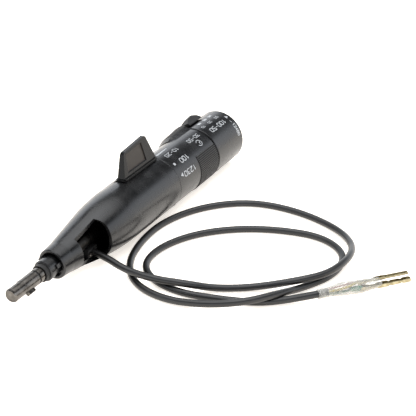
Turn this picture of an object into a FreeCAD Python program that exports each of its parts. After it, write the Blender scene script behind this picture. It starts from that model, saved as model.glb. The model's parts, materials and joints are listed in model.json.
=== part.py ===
"""Steering-column control lever: a tapered body with a twist band, a washer paddle,
a cruise slider, an end button, a turning steel rod end and a cable lead.

Lever coordinates: X runs from the rod tip to the end cap along the axis, Z is up, Y is across.
Every sub-part is drawn with the rod tip at X = 0 and the axis on Z = 0, and then placed.
Angles round the axis start at the top and grow towards -Y, as a turn about +X does.
"""
import FreeCAD, Part
import math
import os
import Sketcher

Vector = FreeCAD.Vector
AXIS_X = Vector(1, 0, 0)
AXIS_Y = Vector(0, 1, 0)
AXIS_Z = Vector(0, 0, 1)

doc = FreeCAD.newDocument("ColumnLever")

# ---------------------------------------------------------------- driving dimensions, in mm
sizes = {
    # where the lever stands in the part's frame
    "tip_offset": -109.8, "axis_offset": -1.4, "axis_height": 16.4,
    # rod end
    "rod_radius": 3.95, "rod_nose": 0.8, "rod_nose_radius": 3.2, "rod_length": 24.6,
    "rod_step": 9.6, "rod_body_radius": 4.15,
    "groove_start": 20.2, "groove_end": 21.5, "groove_radius": 3.2, "ring_seat": 3.75,
    "lug_start": 10.0, "lug_length": 5.0, "lug_width": 2.6, "lug_top": 5.6, "lug_angle": 130.0,
    # turning shaft and its tube
    "shaft_radius": 2.4, "shaft_end": 152.0,
    "tube_start": 25.2, "tube_end": 141.0, "tube_radius": 4.3, "tube_bore": 2.8,
    "bushing_bore": 2.45, "bushing_length": 4.0,
    "seal_radius": 4.9, "seal_end": 27.9,
    # collar hub and clip
    "hub_end": 46.0, "hub_boss_end": 38.6, "hub_boss_radius": 6.0, "hub_radius": 7.0,
    "hub_edge": 0.6, "clip_end": 47.0, "clip_radius": 6.2,
    "hub_shoulder": 32.0, "hub_neck_radius": 5.6,
    "key_start": 32.4, "key_half": 1.1, "key_bottom": 5.2, "key_top": 6.85,
    # housing
    "body_start": 36.0, "body_edge": 0.7, "nose_radius": 8.7, "nose_edge_radius": 8.1,
    "taper_start": 44.0, "taper_start_radius": 9.3, "taper_end": 73.0, "taper_end_radius": 14.2,
    "barrel_start": 99.0, "barrel_radius": 16.4, "body_end": 142.3, "wall": 1.8,
    "hub_bore": 7.02, "hollow_start": 50.0, "hollow_start_radius": 7.6, "taper_bore": 12.3,
    # cable window in the housing's side
    "window_start": 51.0, "window_end": 72.7, "window_face": -4.6, "window_depth": 20.0,
    "window_bottom": -11.0, "window_top": 13.2, "window_round": 5.0,
    # washer paddle
    "paddle_angle": -9.0, "paddle_half": 2.1, "fin_half": 2.6, "fin_top_half": 1.1,
    "slot_start": 107.0, "slot_end": 136.8, "slot_near": -2.7, "slot_width": 7.3,
    "slot_bottom": 12.0, "slot_height": 8.0,
    "fin_foot": 16.85, "fin_left_foot": 108.6, "fin_left_top": 113.4, "fin_left_height": 31.6,
    "fin_right_top": 136.4, "fin_right_height": 33.4, "fin_right_foot": 142.0,
    "panel_left": 113.4, "panel_left_top": 115.0, "panel_right_top": 131.2, "panel_right": 132.6,
    "panel_bottom": 19.6, "panel_left_height": 30.3, "panel_right_height": 31.0, "panel_depth": 0.6,
    "foot_half": 3.4, "foot_height": 0.8, "stem_start": 107.6, "stem_end": 136.2, "stem_bottom": 13.6,
    "shoe_start": 105.0, "shoe_end": 136.6, "shoe_inner": 13.0, "shoe_outer": 14.1, "shoe_half": 24.0,
    "yoke_bore": 4.36, "yoke_outer": 5.7, "yoke_length": 4.0, "yoke_front": 107.0, "yoke_rear": 131.0,
    "arm_half": 1.6, "arm_bottom": 5.0, "arm_top": 12.8,
    # bulkhead, carrier and cap
    "bulkhead_start": 99.5, "bulkhead_length": 2.5, "bulkhead_radius": 14.5,
    "flange_start": 137.4, "flange_end": 141.4, "flange_radius": 14.55,
    "carrier_outer": 13.9, "carrier_inner": 11.2, "carrier_gap": -0.8,
    "plate_start": 188.9, "plate_end": 192.9, "plate_radius": 14.55,
    "detent_thick": 0.8, "detent_bore": 5.0, "detent_radius": 14.0, "detent_hole": 0.9,
    "detent_circle": 10.2,
    "cap_start": 188.0, "cap_end": 218.2, "cap_radius": 16.4, "cap_round": 1.2,
    "cap_mouth": 9.4,
    # twist band and its drive
    "ring_start": 142.7, "ring_end": 187.1, "ring_radius": 16.25, "ring_bore": 14.5,
    "ring_edge": 0.35,
    "pad_start": 167.5, "pad_brow": 171.5, "pad_end": 187.0,
    "pad_low": 16.75, "pad_brow_height": 18.2, "pad_high": 19.3, "pad_root": 15.6,
    "pad_near_foot": -12.0, "pad_near": -27.0, "pad_far": -105.0, "pad_far_foot": -120.0,
    "ridge_start": 166.0, "ridge_length": 20.6, "ridge_width": 0.55,
    "ridge_height": 0.35, "ridge_pitch": 4.0, "ridge_first": 51.0,
    "drive_start": 146.5, "drive_end": 152.0, "drive_boss": 5.5, "drive_bore": 2.42,
    "drive_arm_half": 14.0, "drive_arm_angle": -26.0,
    "pin_radius": 0.8, "pin_half": 5.2, "pin_position": 149.2,
    "ball_radius": 1.3, "ball_gap": 0.35, "ball_bore": 1.45, "spring_wire": 0.22,
    # cruise slider
    "slider_angle": -35.0, "knob_start": 191.0, "knob_nose": 18.4, "knob_base": 16.65,
    "knob_ramp": 196.8, "knob_ramp_top": 20.3, "knob_crest": 202.4, "knob_end": 204.8,
    "knob_top": 21.0, "knob_back": 19.2, "knob_half": 4.3, "knob_far": 3.2, "knob_far_top": 19.6,
    "knob_flat": 1.4, "knob_near_top": 17.3,
    "stem_slide_start": 196.8, "stem_slide_end": 203.0, "stem_slide_half": 1.5,
    "slide_slot_start": 193.0, "slide_slot_end": 209.9, "slide_slot_half": 1.8,
    "carriage_start": 196.6, "carriage_end": 204.0, "carriage_half": 5.0,
    "carriage_bottom": 11.2, "carriage_top": 13.2,
    "bridge_half": 1.2, "bridge_bottom": 10.5,
    "board_start": 193.3, "board_end": 210.6, "board_half": 7.5, "board_bottom": 8.9,
    "board_top": 9.9, "contact_top": 10.15, "contact_half": 2.6, "contact_length": 3.2,
    "contact_pitch": 6.4, "contact_first": 194.2,
    # end button and its switch
    "button_start": 215.7, "button_end": 219.6, "button_radius": 9.1, "button_flange": 10.6,
    "button_flange_start": 214.2, "button_round": 0.8, "plunger_start": 206.0, "plunger_radius": 2.0,
    "set_start": 196.4, "set_end": 202.6, "set_half": 4.4, "dome_end": 203.4, "dome_radius": 2.6,
    "coil_start": 203.6, "coil_end": 214.0, "coil_radius": 3.4, "coil_wire": 0.45,
    # washer switch, clamp and inner cable
    "washer_start": 111.0, "washer_length": 14.0, "washer_side": 6.9, "washer_width": 5.0,
    "washer_bottom": -3.0, "washer_height": 7.0,
    "leaf_thick": 0.35,
    "torsion_start": 112.0, "torsion_end": 121.0, "torsion_radius": 5.2, "torsion_wire": 0.4,
    "clamp_start": 63.6, "clamp_end": 71.8, "clamp_face": -4.5, "clamp_back": 0.6,
    "clamp_bottom": -9.3, "clamp_top": -4.4, "cable_at": 68.0, "cable_low": -6.85,
    "clamp_screw_at": 64.75, "clamp_screw_radius": 0.6, "clamp_head_radius": 1.1,
    "clamp_head_length": 1.0,
    "cable_side": 4.6, "cable_end": 196.0, "cable_passage": 2.4,
    # small radial screws
    "screw_radius": 1.0, "screw_head": 1.9, "screw_head_bottom": 15.1, "screw_head_top": 16.0,
    "screw_bottom": 11.6, "screw_clear": 0.08, "body_screw_at": 139.4, "cap_screw_at": 190.9,
    "screw_angle": 130.0,
    # cable lead: jacket, clear sleeve, wires and terminals
    "cord_radius": 2.0, "sleeve_radius": 4.0, "sleeve_neck": 2.5, "sleeve_bore": 2.05,
    "sleeve_wall": 0.35, "sleeve_overlap": 6.0, "sleeve_taper": 7.0, "sleeve_length": 36.0,
    "wire_radius": 0.6, "wire_spread": 1.25, "wire_length": 18.5,
    "terminal_length": 29.5, "terminal_width": 1.7, "terminal_thick": 0.8, "terminal_gap": 1.2,
    "barrel_length": 13.0, "barrel_outer": 1.15,
}
sizes["bore_radius"] = sizes["barrel_radius"] - sizes["wall"]
sizes["cap_bore"] = sizes["cap_radius"] - sizes["wall"]
sizes["cap_floor"] = sizes["cap_end"] - sizes["wall"]
sizes["front_bushing_start"] = sizes["tube_start"] + 0.4
sizes["front_bushing_end"] = sizes["front_bushing_start"] + sizes["bushing_length"]
sizes["rear_bushing_start"] = sizes["tube_end"] - sizes["bushing_length"]
sizes["clip_start"] = sizes["hub_end"]
sizes["nose_edge_start"] = sizes["body_start"] + sizes["body_edge"]
sizes["hub_boss_edge"] = sizes["hub_boss_radius"] - sizes["hub_edge"]
sizes["hub_boss_edge_at"] = sizes["seal_end"] + sizes["hub_edge"]
sizes["bulkhead_end"] = sizes["bulkhead_start"] + sizes["bulkhead_length"]
sizes["detent_end"] = sizes["flange_end"] + sizes["detent_thick"]
sizes["cap_lip"] = sizes["cap_radius"] - sizes["ring_edge"]
sizes["cap_lip_at"] = sizes["cap_start"] + sizes["ring_edge"]
sizes["ring_lip"] = sizes["ring_radius"] - sizes["ring_edge"]
sizes["ring_lip_at"] = sizes["ring_start"] + sizes["ring_edge"]
sizes["ring_lip_end"] = sizes["ring_end"] - sizes["ring_edge"]
sizes["ridge_stop"] = sizes["ridge_start"] + sizes["ridge_length"]
sizes["ridge_far_start"] = sizes["pad_brow"] + 0.5
sizes["set_low"] = -sizes["set_half"]
sizes["leaf_width"] = sizes["washer_width"] - 1.0
sizes["leaf_low"] = sizes["washer_bottom"] + sizes["washer_height"]
sizes["lug_end"] = sizes["lug_start"] + sizes["lug_length"]
sizes["lug_half"] = sizes["lug_width"] / 2
sizes["lug_bottom"] = sizes["rod_radius"] - 1.0
sizes["arm_root"] = sizes["drive_boss"] - 0.5
sizes["pocket_end"] = sizes["drive_end"] - 1.0
sizes["pin_span"] = 2 * sizes["pin_half"]
sizes["pin_low"] = -sizes["pin_half"]
sizes["pin_reach"] = sizes["pin_half"] - sizes["shaft_radius"]
sizes["detent_spring_start"] = sizes["detent_end"] + sizes["ball_gap"] + 2 * sizes["ball_radius"]
sizes["detent_spring_radius"] = sizes["ball_bore"] - sizes["spring_wire"] - 0.1
sizes["panel_half"] = sizes["panel_depth"]
sizes["foot_top"] = sizes["fin_foot"] + sizes["foot_height"]
sizes["fin_round"] = 2.2
sizes["yoke_front_end"] = sizes["yoke_front"] + sizes["yoke_length"]
sizes["yoke_rear_end"] = sizes["yoke_rear"] + sizes["yoke_length"]
sizes["bridge_low"] = sizes["arm_top"] - 2.0
sizes["carriage_reach"] = sizes["cap_bore"] - 0.4
sizes["bridge_start"] = sizes["carriage_start"] + 1.0
sizes["bridge_end"] = sizes["carriage_end"] - 1.0
sizes["button_edge_at"] = sizes["button_end"] - sizes["button_round"]
sizes["button_edge_radius"] = sizes["button_radius"] - sizes["button_round"]
sizes["origin"] = 0.0

# Route of the lead: X from the rod tip, Y from the lever's axis, Z above the surface.
CORD_ROUTE = [
    (68, -4.5, 9.55), (67.3, -14, 8.8), (64.5, -27, 6.7), (64, -46, 6.7), (69, -63, 6.4),
    (78.5, -75, 2), (89.5, -92.5, 2), (101, -114, 6.9), (116, -125, 6.9), (137, -127.5, 6.7),
    (156, -120.5, 3.6), (170, -104, 2), (177, -76, 2), (174, -47, 2), (155, -25, 2),
    (128, -13.5, 2), (101, -14, 2), (77, -21, 2), (60.5, -36, 2), (55.5, -58, 2),
    (59.5, -81, 4.2), (68, -99, 6.8), (84, -110.5, 6.8), (103, -116, 2), (124, -125, 2),
    (146, -121, 2), (157, -101, 2), (152, -76, 2), (141, -54, 2), (123, -36, 2),
    (101, -27, 2), (81, -28.5, 2), (69, -42, 2), (65.5, -62, 2), (71, -84, 2),
    (78, -103, 2), (88, -118, 3.8), (102.4, -130.6, 4.1),
]
ARC_SHARE = 0.45
DETENT_ANGLES = (-54, -26, 0, 26, 52, 79)

sheet = doc.addObject("Spreadsheet::Sheet", "Dims")
for row, (alias, value) in enumerate(sizes.items(), start=1):
    sheet.set("A%d" % row, alias)
    sheet.set("B%d" % row, str(value))
    sheet.setAlias("B%d" % row, alias)
doc.recompute()

parts = []


# ---------------------------------------------------------------- helpers
def bind(thing, **links):
    """Bind properties to sheet cells: a double underscore stands for a dot."""
    for prop, alias in links.items():
        thing.setExpression(prop.replace("__", "."), "Dims." + alias)


def place(thing, angle=0.0, standing=True):
    """Put a finished sub-part at the lever's place, turned about the lever's axis."""
    thing.Placement = FreeCAD.Placement(Vector(0, 0, 0), FreeCAD.Rotation(AXIS_X, angle))
    if standing:
        bind(thing, Placement__Base__x="tip_offset", Placement__Base__y="axis_offset",
             Placement__Base__z="axis_height")


def finish(thing, label, angle=0.0):
    """Name a sub-part, place it and list it for export."""
    thing.Label = label
    place(thing, angle)
    parts.append(thing)
    return thing


def point(names):
    """Turn a pair of cell names into a sketch point."""
    return Vector(sizes[names[0]], sizes[names[1]], 0)


def fix_corner(sketch, line, names):
    """Dimension a line's start from the origin, or hold it on an axis when a value is zero."""
    for kind, axis, name in (("DistanceX", -2, names[0]), ("DistanceY", -1, names[1])):
        if sizes[name] == 0:
            sketch.addConstraint(Sketcher.Constraint("PointOnObject", line, 1, axis))
        else:
            rule = Sketcher.Constraint(kind, -1, 1, line, 1, sizes[name])
            index = sketch.addConstraint(rule)
            sketch.setExpression("Constraints[%d]" % index, "Dims." + name)


def outline(body, name, corners, bulge=None):
    """Draw a closed outline on the body's XZ plane; `bulge` is (corner number, point on the arc)."""
    sketch = body.newObject("Sketcher::SketchObject", name)
    plane = [item for item in body.Origin.OriginFeatures if item.Role == "XZ_Plane"][0]
    sketch.AttachmentSupport = (plane, [""])
    sketch.MapMode = "FlatFace"
    count = len(corners)
    for number in range(count):
        start = point(corners[number])
        end = point(corners[(number + 1) % count])
        if bulge and bulge[0] == number:
            sketch.addGeometry(Part.Arc(start, bulge[1], end), False)
        else:
            sketch.addGeometry(Part.LineSegment(start, end), False)
    return sketch


def close_outline(sketch, corners, arc=None):
    """Join the outline's lines and dimension each corner; a falling arc is kept end to start."""
    count = len(corners)
    for number in range(count):
        following = (number + 1) % count
        leave = 1 if number == arc else 2
        enter = 2 if following == arc else 1
        sketch.addConstraint(Sketcher.Constraint("Coincident", number, leave, following, enter))
    for number in range(count):
        if number != arc:
            fix_corner(sketch, number, corners[number])


def turned(name, corners):
    """A body turned about the lever's axis from an outline of (X, radius) corners."""
    body = doc.addObject("PartDesign::Body", name)
    sketch = outline(body, name + "_outline", corners)
    close_outline(sketch, corners)
    turn = body.newObject("PartDesign::Revolution", name + "_turn")
    turn.Profile = sketch
    turn.ReferenceAxis = (sketch, ["H_Axis"])
    turn.Angle = 360
    sketch.Visibility = False
    doc.recompute()
    return body


def bush(name, start, end, outer, inner):
    """A plain turned ring."""
    return turned(name, [(start, inner), (end, inner), (end, outer), (start, outer)])


def plate(name, corners, half):
    """A flat body drawn in the XZ plane and padded both ways from it."""
    body = doc.addObject("PartDesign::Body", name)
    sketch = outline(body, name + "_outline", corners)
    close_outline(sketch, corners)
    pad = body.newObject("PartDesign::Pad", name + "_pad")
    pad.Profile = sketch
    pad.Midplane = True
    pad.setExpression("Length", "2 * Dims." + half)
    doc.recompute()
    return body


def block(name, x_start, x_end, half, bottom, top):
    """A box centred across the axis, between named X and Z values."""
    box = doc.addObject("Part::Box", name)
    box.setExpression("Length", "Dims.%s - Dims.%s" % (x_end, x_start))
    box.setExpression("Width", "2 * Dims." + half)
    box.setExpression("Height", "Dims.%s - Dims.%s" % (top, bottom))
    box.setExpression("Placement.Base.x", "Dims." + x_start)
    box.setExpression("Placement.Base.y", "-Dims." + half)
    box.setExpression("Placement.Base.z", "Dims." + bottom)
    return box


def drum(name, start, end, radius, side=0.0, low=0.0):
    """A cylinder along X between two named X values, at a place beside the axis."""
    rod = doc.addObject("Part::Cylinder", name)
    rod.Placement = FreeCAD.Placement(Vector(0, side, low), FreeCAD.Rotation(AXIS_Y, 90))
    rod.setExpression("Radius", "Dims." + radius)
    rod.setExpression("Height", "Dims.%s - Dims.%s" % (end, start))
    rod.setExpression("Placement.Base.x", "Dims." + start)
    return rod


def prism(name, start, end, section):
    """A bar along X between two named X values, with a section of (Y, Z) corners."""
    bar = doc.addObject("Part::Feature", name)
    corners = [Vector(sizes[start], across, up) for across, up in section]
    face = Part.Face(Part.makePolygon(corners + corners[:1]))
    bar.Shape = face.extrude(Vector(sizes[end] - sizes[start], 0, 0))
    return bar


def cut(name, base, tools):
    """Subtract one or more tools from a base."""
    tool = tools[0] if len(tools) == 1 else fuse(name + "_tools", tools)
    result = doc.addObject("Part::Cut", name)
    result.Base = base
    result.Tool = tool
    return result


def fuse(name, items):
    """Join several objects into one solid."""
    result = doc.addObject("Part::MultiFuse", name)
    result.Shapes = items
    return result


def sector(name, start, end, inner, outer, half):
    """A curved slab about the axis, centred on the top, `half` degrees to each side."""
    slab = doc.addObject("Part::Feature", name)
    span = 2 * sizes[half]
    length = sizes[end] - sizes[start]
    base = Vector(sizes[start], 0, 0)
    big = Part.makeCylinder(sizes[outer], length, base, AXIS_X, span)
    small = Part.makeCylinder(sizes[inner], length, base, AXIS_X, 360)
    shape = big.cut(small)
    middle = big.CenterOfMass
    lean = math.degrees(math.atan2(middle.y, middle.z))
    shape.rotate(Vector(0, 0, 0), AXIS_X, lean)
    slab.Shape = shape
    return slab


def radial(name, at, angle, radius, bottom, top):
    """A cylinder standing out of the axis at an angle round it."""
    stud = doc.addObject("Part::Cylinder", name)
    turn = FreeCAD.Rotation(AXIS_X, angle)
    foot = turn.multVec(Vector(0, 0, sizes[bottom]))
    stud.Placement = FreeCAD.Placement(Vector(sizes[at], foot.y, foot.z), turn)
    stud.Radius = radius
    stud.Height = sizes[top] - sizes[bottom]
    return stud


def rounded_path(route):
    """Straight runs joined by tangent arcs, each as large as its two runs allow."""
    edges = []
    radii = []
    last = route[0]
    for before, corner, after in zip(route, route[1:], route[2:]):
        arriving = corner - before
        leaving = after - corner
        reach = ARC_SHARE * min(arriving.Length, leaving.Length)
        turn = arriving.getAngle(leaving)
        radius = reach / math.tan(turn / 2)
        radii.append(radius)
        start = corner - arriving.normalize() * reach
        end = corner + leaving.normalize() * reach
        inward = (start + end) * 0.5 - corner
        depth = math.hypot(radius, reach) - radius
        middle = corner + inward.normalize() * depth
        edges.append(Part.LineSegment(last, start).toShape())
        edges.append(Part.Arc(start, middle, end).toShape())
        last = end
    edges.append(Part.LineSegment(last, route[-1]).toShape())
    return Part.Wire(edges), radii


def tube_along(route, radius, label):
    """A round tube along a route, with its radii and its volume checked."""
    path, radii = rounded_path(route)
    heading = route[1] - route[0]
    ring = Part.Wire(Part.makeCircle(radius, route[0], heading))
    shape = path.makePipeShell([ring], True, False)
    expected = math.pi * radius ** 2 * path.Length
    print(label, "length", round(path.Length, 1), "radii", [round(value, 1) for value in radii])
    print(label, "volume ratio", round(shape.Volume / expected, 4))
    return shape


def coil(start, end, radius, wire, turns):
    """A compression spring along X, closed at neither end."""
    pitch = (sizes[end] - sizes[start] - 2 * sizes[wire]) / turns
    helix = Part.makeHelix(pitch, pitch * turns, sizes[radius])
    ring = Part.Wire(Part.makeCircle(sizes[wire], Vector(sizes[radius], 0, 0), AXIS_Y))
    shape = Part.Wire(helix).makePipeShell([ring], True, True)
    shape.rotate(Vector(0, 0, 0), AXIS_Y, 90)
    shape.translate(Vector(sizes[start] + sizes[wire], 0, 0))
    return shape


# ---------------------------------------------------------------- fixed parts of the lever
def make_housing():
    corners = [
        ("body_start", "hub_bore"), ("body_start", "nose_edge_radius"),
        ("nose_edge_start", "nose_radius"), ("taper_start", "taper_start_radius"),
        ("taper_end", "taper_end_radius"), ("barrel_start", "barrel_radius"),
        ("body_end", "barrel_radius"), ("body_end", "bore_radius"),
        ("barrel_start", "bore_radius"), ("taper_end", "taper_bore"),
        ("hollow_start", "hollow_start_radius"), ("hollow_start", "hub_bore"),
    ]
    body = doc.addObject("PartDesign::Body", "housing_shell")
    run = sizes["barrel_start"] - sizes["taper_end"]
    rise = sizes["barrel_radius"] - sizes["taper_end_radius"]
    swell = (run ** 2 + rise ** 2) / (2 * rise)
    drop = swell - math.sqrt(swell ** 2 - run ** 2 / 4)
    on_arc = Vector(sizes["taper_end"] + run / 2, sizes["barrel_radius"] - drop, 0)
    sketch = outline(body, "housing_outline", corners, (4, on_arc))
    close_outline(sketch, corners, 4)
    end = Sketcher.Constraint("DistanceX", -1, 1, 4, 2, sizes["taper_end"])
    sketch.setExpression("Constraints[%d]" % sketch.addConstraint(end), "Dims.taper_end")
    height = Sketcher.Constraint("DistanceY", -1, 1, 4, 2, sizes["taper_end_radius"])
    sketch.setExpression("Constraints[%d]" % sketch.addConstraint(height), "Dims.taper_end_radius")
    sketch.addConstraint(Sketcher.Constraint("Radius", 4, swell))
    turn = body.newObject("PartDesign::Revolution", "housing_turn")
    turn.Profile = sketch
    turn.ReferenceAxis = (sketch, ["H_Axis"])
    turn.Angle = 360
    doc.recompute()

    window = doc.addObject("Part::Box", "window_block")
    window.setExpression("Length", "Dims.window_end - Dims.window_start")
    bind(window, Width="window_depth", Placement__Base__x="window_start",
         Placement__Base__z="window_bottom")
    window.setExpression("Height", "Dims.window_top - Dims.window_bottom")
    window.setExpression("Placement.Base.y", "Dims.window_face - Dims.window_depth")
    doc.recompute()
    rounded = doc.addObject("Part::Fillet", "window_rounded")
    rounded.Base = window
    across = [number for number, edge in enumerate(window.Shape.Edges, start=1)
              if abs(edge.Length - sizes["window_depth"]) < 1e-6
              and edge.CenterOfMass.x > sizes["window_start"] + 1]
    rounded.Edges = [(number, sizes["window_round"], sizes["window_round"]) for number in across]

    slot = doc.addObject("Part::Box", "paddle_slot")
    slot.setExpression("Length", "Dims.slot_end - Dims.slot_start")
    bind(slot, Width="slot_width", Height="slot_height")
    turned_by = FreeCAD.Rotation(AXIS_X, sizes["paddle_angle"])
    corner = turned_by.multVec(Vector(0, sizes["slot_near"], sizes["slot_bottom"]))
    slot.Placement = FreeCAD.Placement(Vector(sizes["slot_start"], corner.y, corner.z), turned_by)
    tools = [rounded, slot] + screw_tools("body_screw_at", "housing")
    return finish(cut("housing_cut", body, tools), "housing")


def screw_tools(at, owner):
    """Counterbored holes for the two radial screws."""
    tools = []
    for side in (1, -1):
        angle = side * sizes["screw_angle"]
        tag = "%s_hole_%s" % (owner, "near" if side > 0 else "far")
        shank = sizes["screw_radius"] + sizes["screw_clear"]
        head = sizes["screw_head"] + sizes["screw_clear"]
        tools.append(radial(tag, at, angle, shank, "screw_bottom", "screw_head_top"))
        tools.append(radial(tag + "_head", at, angle, head, "screw_head_bottom", "knob_top"))
    return tools


def make_screws(at, label):
    solids = []
    for side in (1, -1):
        angle = side * sizes["screw_angle"]
        tag = "%s_%s" % (label, "near" if side > 0 else "far")
        shank = radial(tag, at, angle, sizes["screw_radius"], "screw_bottom", "screw_head_bottom")
        head = radial(tag + "_head", at, angle, sizes["screw_head"], "screw_head_bottom",
                      "screw_head_top")
        solids += [shank, head]
    finish(fuse(label + "_pair", solids), label)


def make_bearings():
    tube = bush("tube_body", "tube_start", "tube_end", "tube_radius", "tube_bore")
    finish(tube, "support_tube")
    front = bush("front_bushing_body", "front_bushing_start", "front_bushing_end", "tube_bore",
                 "bushing_bore")
    finish(front, "front_bushing")
    rear = bush("rear_bushing_body", "rear_bushing_start", "tube_end", "tube_bore", "bushing_bore")
    finish(rear, "rear_bushing")
    finish(bush("seal_body", "tube_start", "seal_end", "seal_radius", "tube_radius"), "seal_ring")
    finish(bush("clip_body", "clip_start", "clip_end", "clip_radius", "tube_radius"), "tube_clip")
    hub = turned("hub_body", [
        ("seal_end", "tube_radius"), ("seal_end", "hub_boss_edge"),
        ("hub_boss_edge_at", "hub_boss_radius"), ("hub_shoulder", "hub_boss_radius"),
        ("hub_shoulder", "hub_neck_radius"), ("hub_boss_end", "hub_neck_radius"),
        ("hub_boss_end", "hub_radius"), ("hub_end", "hub_radius"), ("hub_end", "tube_radius"),
    ])
    keys = []
    for number in range(3):
        key = doc.addObject("Part::Feature", "hub_key_%d" % number)
        half = sizes["key_half"]
        bar = Part.makeBox(sizes["hub_boss_end"] - sizes["key_start"], 2 * half,
                           sizes["key_top"] - sizes["key_bottom"],
                           Vector(sizes["key_start"], -half, sizes["key_bottom"]))
        bar.rotate(Vector(0, 0, 0), AXIS_X, 68 + 120 * number)
        key.Shape = bar
        keys.append(key)
    finish(fuse("hub_whole", [hub] + keys), "collar_hub")
    disc = bush("bulkhead_body", "bulkhead_start", "bulkhead_end", "bulkhead_radius", "tube_radius")
    passage = drum("bulkhead_passage", "bulkhead_start", "bulkhead_end", "cable_passage",
                   sizes["cable_side"], sizes["cable_low"])
    finish(cut("bulkhead_cut", disc, [passage]), "tube_bulkhead")


def make_carrier():
    flange = bush("flange_body", "flange_start", "flange_end", "flange_radius", "tube_radius")
    end_plate = bush("end_plate_body", "plate_start", "plate_end", "plate_radius", "plunger_radius")
    trough = bush("trough_body", "flange_end", "plate_start", "carrier_outer", "carrier_inner")
    upper = doc.addObject("Part::Box", "upper_half")
    bind(upper, Placement__Base__x="flange_end", Placement__Base__z="carrier_gap")
    upper.setExpression("Placement.Base.y", "-Dims.barrel_radius")
    upper.setExpression("Length", "Dims.plate_start - Dims.flange_end")
    upper.setExpression("Width", "2 * Dims.barrel_radius")
    bind(upper, Height="barrel_radius")
    half = cut("trough_half", trough, [upper])
    whole = fuse("carrier_whole", [flange, end_plate, half])
    passage = drum("carrier_passage", "flange_start", "plate_end", "cable_passage",
                   sizes["cable_side"], sizes["cable_low"])
    tools = [passage] + screw_tools("body_screw_at", "flange") + screw_tools("cap_screw_at", "plate")
    finish(cut("carrier_cut", whole, tools), "carrier")

    disc = bush("detent_body", "flange_end", "detent_end", "detent_radius", "detent_bore")
    trim = doc.addObject("Part::Box", "detent_trim")
    bind(trim, Placement__Base__x="flange_end", Length="detent_thick", Height="barrel_radius")
    trim.setExpression("Placement.Base.y", "-Dims.barrel_radius")
    trim.setExpression("Placement.Base.z", "Dims.carrier_gap - Dims.barrel_radius")
    trim.setExpression("Width", "2 * Dims.barrel_radius")
    holes = []
    for number, angle in enumerate(DETENT_ANGLES):
        turn = FreeCAD.Rotation(AXIS_X, sizes["drive_arm_angle"] + angle)
        centre = turn.multVec(Vector(0, 0, sizes["detent_circle"]))
        hole = drum("detent_hole_%d" % number, "flange_end", "detent_end", "detent_hole",
                    centre.y, centre.z)
        holes.append(hole)
    finish(cut("detent_cut", disc, [trim] + holes), "detent_plate")


def make_cap():
    cap = turned("cap_body", [
        ("cap_start", "cap_bore"), ("cap_start", "cap_lip"), ("cap_lip_at", "cap_radius"),
        ("cap_end", "cap_radius"), ("cap_end", "cap_mouth"), ("cap_floor", "cap_mouth"),
        ("cap_floor", "cap_bore"),
    ])
    rim = cap.newObject("PartDesign::Fillet", "cap_rim")
    turn = doc.getObject("cap_body_turn")
    edges = ["Edge%d" % number for number, edge in enumerate(turn.Shape.Edges, start=1)
             if abs(edge.BoundBox.XMin - sizes["cap_end"]) < 1e-6
             and abs(edge.BoundBox.ZMax - sizes["cap_radius"]) < 1e-6
             and edge.BoundBox.XLength < 1e-6]
    rim.Base = (turn, edges)
    bind(rim, Radius="cap_round")
    doc.recompute()
    slot = block("slider_slot", "slide_slot_start", "slide_slot_end", "slide_slot_half",
                 "carriage_top", "knob_top")
    turn_slot = FreeCAD.Rotation(AXIS_X, sizes["slider_angle"])
    foot = turn_slot.multVec(Vector(0, -sizes["slide_slot_half"], sizes["carriage_top"]))
    slot.setExpression("Placement.Base.y", None)
    slot.setExpression("Placement.Base.z", None)
    slot.Placement = FreeCAD.Placement(Vector(sizes["slide_slot_start"], foot.y, foot.z), turn_slot)
    tools = [slot] + screw_tools("cap_screw_at", "cap")
    finish(cut("cap_cut", cap, tools), "end_cap")


def make_switchgear():
    board = block("board_block", "board_start", "board_end", "board_half", "board_bottom",
                  "board_top")
    finish(wrapped(board, "board_whole"), "switch_board", sizes["slider_angle"])
    pads = []
    for number in range(3):
        pad = doc.addObject("Part::Box", "contact_pad_%d" % number)
        bind(pad, Length="contact_length")
        pad.setExpression("Width", "2 * Dims.contact_half")
        pad.setExpression("Height", "Dims.contact_top - Dims.board_top")
        pad.setExpression("Placement.Base.x", "Dims.contact_first + %d * Dims.contact_pitch" % number)
        pad.setExpression("Placement.Base.y", "-Dims.contact_half")
        pad.setExpression("Placement.Base.z", "Dims.board_top")
        pads.append(pad)
    group = doc.addObject("Part::Compound", "contact_pads")
    group.Links = pads
    finish(group, "fixed_contacts", sizes["slider_angle"])
    case = block("set_case", "set_start", "set_end", "set_half", "set_low", "set_half")
    finish(wrapped(case, "set_case_whole"), "set_switch")
    dome = drum("dome_drum", "set_end", "dome_end", "dome_radius")
    finish(wrapped(dome, "dome_whole"), "contact_dome")
    finish_shape(coil("coil_start", "coil_end", "coil_radius", "coil_wire", 5), "set_button_spring")

    switch = doc.addObject("Part::Box", "washer_case")
    bind(switch, Length="washer_length", Width="washer_width", Height="washer_height",
         Placement__Base__x="washer_start", Placement__Base__y="washer_side",
         Placement__Base__z="washer_bottom")
    finish(wrapped(switch, "washer_case_whole"), "washer_switch")
    leaf = doc.addObject("Part::Box", "leaf_strip")
    bind(leaf, Length="washer_length", Width="leaf_width", Height="leaf_thick",
         Placement__Base__x="washer_start", Placement__Base__y="washer_side",
         Placement__Base__z="leaf_low")
    finish(wrapped(leaf, "leaf_whole"), "washer_contact")


def wrapped(thing, name):
    """Hold a positioned primitive in a compound, so that the compound carries the placement."""
    group = doc.addObject("Part::Compound", name)
    group.Links = [thing]
    return group


def finish_shape(shape, label, angle=0.0):
    """Make a sub-part whose shape is worked out above."""
    thing = doc.addObject("Part::Feature", label + "_shape")
    thing.Shape = Part.makeCompound([shape])
    return finish(thing, label, angle)


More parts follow.
